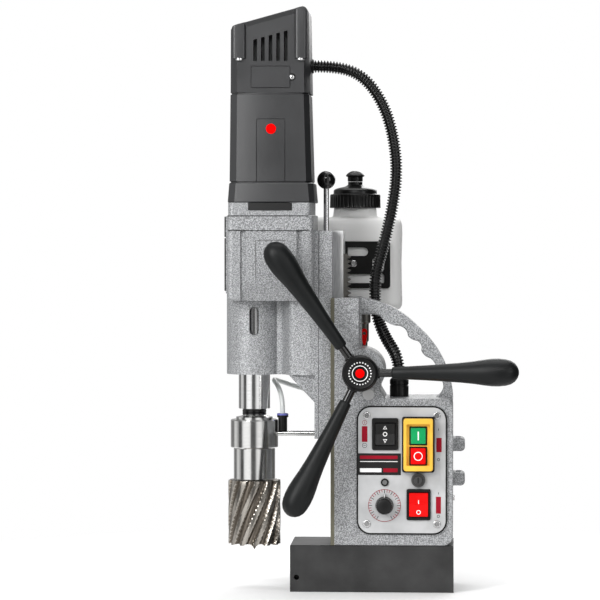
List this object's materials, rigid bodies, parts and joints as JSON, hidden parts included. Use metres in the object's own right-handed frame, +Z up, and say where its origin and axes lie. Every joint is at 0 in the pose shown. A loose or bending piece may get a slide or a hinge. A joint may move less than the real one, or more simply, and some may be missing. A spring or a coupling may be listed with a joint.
{
  "type": "magnetic drill press",
  "caption": "Portable drill press: electromagnet base, cast frame with handle and controls, rack-fed motor carriage, annular cutter and coolant bottle.",
  "frame": {"origin": "centre of the magnet's pole face, on the work that it stands on", "axes": "+X to the operator's right, away from the spindle side; +Y away from the operator, who faces the control panel; +Z up along the carriage travel"},
  "size_m": [0.3034, 0.208, 0.6007],
  "materials": {
    "hammered_silver": "hammered silver paint",
    "slide_paint": "hammered grey paint",
    "magnet_black": "satin black enamel",
    "ground_steel": "ground bright",
    "turned_steel": "turned bright",
    "cutter_steel": "ground high-speed steel",
    "rack_steel": "machined, oiled",
    "brass": "machined brass",
    "copper_winding": "varnished copper wire",
    "screw_steel": "zinc plated",
    "panel_grey": "printed light grey",
    "plug_grey": "moulded grey",
    "switch_black": "moulded black",
    "station_yellow": "moulded yellow",
    "button_green": "moulded green",
    "button_red": "moulded red",
    "indicator_black": "dark lens",
    "board_green": "solder mask",
    "gland_black": "moulded black",
    "motor_plastic": "fine textured dark grey",
    "grip_black": "moulded black",
    "hub_black": "moulded black",
    "chrome_rod": "polished",
    "bottle_plastic": "translucent white",
    "bracket_black": "satin black",
    "hose_clear": "clear tube",
    "conduit_black": "corrugated black"
  },
  "bodies": {
    "stand": {"magnet_body": "magnet_black", "magnet_coils": "copper_winding", "frame_casting": "hammered_silver", "gib_strips": "brass", "frame_screws": "screw_steel", "feed_bushes": "brass", "hole_plug": "plug_grey", "conduit_gland_lower": "gland_black", "mains_gland": "gland_black", "panel_plate": "panel_grey", "panel_screws": "screw_steel", "switch_frames": "switch_black", "start_stop_station": "station_yellow", "fuse_holder": "switch_black", "magnet_indicator": "indicator_black", "speed_dial_plate": "panel_grey", "control_board": "board_green", "conduit": "conduit_black"},
    "carriage": {"slide_plate": "slide_paint", "dovetail_rail": "ground_steel", "rack": "rack_steel", "gearbox_housing": "hammered_silver", "gearbox_cover": "hammered_silver", "motor_flange": "motor_plastic", "motor_housing": "motor_plastic", "motor_cap": "motor_plastic", "cable_door": "motor_plastic", "carriage_screws": "screw_steel", "conduit_gland_upper": "gland_black", "stator": "copper_winding", "shaft_bearings": "ground_steel", "coolant_ring": "turned_steel", "coolant_arm": "turned_steel", "hose_fitting": "gland_black", "coolant_hose": "hose_clear", "bottle_bracket": "bracket_black", "bottle": "bottle_plastic", "tap_body": "rack_steel", "side_plates": "magnet_black"},
    "spindle": {"spindle_shaft": "ground_steel", "arbor": "turned_steel", "annular_cutter": "cutter_steel"},
    "pilot": {"pilot_pin": "ground_steel"},
    "layshaft": {"layshaft": "ground_steel"},
    "armature": {"armature": "ground_steel"},
    "capstan": {"feed_shaft": "ground_steel", "capstan_hub": "hub_black", "spokes": "chrome_rod", "grips": "grip_black"},
    "start_button": {"start_button": "button_green"},
    "stop_button": {"stop_button": "button_red"},
    "direction_rocker": {"direction_rocker": "switch_black"},
    "magnet_rocker": {"magnet_rocker": "button_red"},
    "speed_knob": {"speed_knob": "switch_black"},
    "fuse_cap": {"fuse_cap": "switch_black"},
    "lock": {"lock_rod": "chrome_rod", "lock_knob": "grip_black"},
    "tap_lever": {"tap_lever": "button_red"},
    "bottle_cap": {"bottle_cap": "gland_black"},
    "bottle_spout": {"bottle_spout": "gland_black"}
  },
  "joints": [
    {"name": "carriage_slide", "type": "slide", "parent": "stand", "child": "carriage", "axis": [0, 0, 1], "range_m": [-0.108, 0.042], "deforming": ["conduit"]},
    {"name": "feed_turn", "type": "hinge", "parent": "stand", "child": "capstan", "pos_m": [-0.0111, 0, 0.226], "axis": [0, 1, 0], "range_deg": [-459, 179]},
    {"name": "motor_spin", "type": "hinge", "parent": "carriage", "child": "armature", "pos_m": [-0.1055, 0, 0.46], "axis": [0, 0, 1], "continuous": true},
    {"name": "layshaft_spin", "type": "hinge", "parent": "carriage", "child": "layshaft", "pos_m": [-0.10337, 0.0239, 0.35], "axis": [0, 0, 1], "continuous": true},
    {"name": "spindle_spin", "type": "hinge", "parent": "carriage", "child": "spindle", "pos_m": [-0.1235, 0, 0.2], "axis": [0, 0, 1], "continuous": true},
    {"name": "pilot_slide", "type": "slide", "parent": "spindle", "child": "pilot", "axis": [0, 0, 1], "range_m": [0, 0.045], "stiffness_N_per_m": 60, "springref_m": -0.02},
    {"name": "start_press", "type": "slide", "parent": "stand", "child": "start_button", "axis": [0, 1, 0], "range_m": [0, 0.0025], "stiffness_N_per_m": 500, "springref_m": -0.001},
    {"name": "stop_press", "type": "slide", "parent": "stand", "child": "stop_button", "axis": [0, 1, 0], "range_m": [0, 0.0025], "stiffness_N_per_m": 500, "springref_m": -0.001},
    {"name": "direction_rock", "type": "hinge", "parent": "stand", "child": "direction_rocker", "pos_m": [0.0138, -0.044, 0.1628], "axis": [1, 0, 0], "range_deg": [-7, 7]},
    {"name": "magnet_rock", "type": "hinge", "parent": "stand", "child": "magnet_rocker", "pos_m": [0.0481, -0.044, 0.0906], "axis": [1, 0, 0], "range_deg": [-7, 7]},
    {"name": "speed_turn", "type": "hinge", "parent": "stand", "child": "speed_knob", "pos_m": [0.0132, -0.05, 0.0895], "axis": [0, 1, 0], "range_deg": [-150, 150]},
    {"name": "fuse_cap_turn", "type": "hinge", "parent": "stand", "child": "fuse_cap", "pos_m": [0.0478, -0.045, 0.1157], "axis": [0, 1, 0], "range_deg": [0, 60]},
    {"name": "lock_lift", "type": "slide", "parent": "carriage", "child": "lock", "axis": [0, 0, 1], "range_m": [0, 0.01]},
    {"name": "tap_turn", "type": "hinge", "parent": "carriage", "child": "tap_lever", "pos_m": [-0.0113, 0.0747, 0.262], "axis": [0, 1, 0], "range_deg": [0, 90]},
    {"name": "bottle_cap_turn", "type": "hinge", "parent": "carriage", "child": "bottle_cap", "pos_m": [-0.0213, 0.08175, 0.4], "axis": [0, 0, 1], "range_deg": [0, 540]},
    {"name": "spout_pull", "type": "slide", "parent": "bottle_cap", "child": "bottle_spout", "axis": [0, 0, 1], "range_m": [0, 0.005]}
  ],
  "couplings": [
    {"joint": "feed_turn", "follows": "carriage_slide", "rad_per_m": 74.074},
    {"joint": "layshaft_spin", "follows": "motor_spin", "ratio": -0.2},
    {"joint": "spindle_spin", "follows": "motor_spin", "ratio": 0.063158}
  ]
}
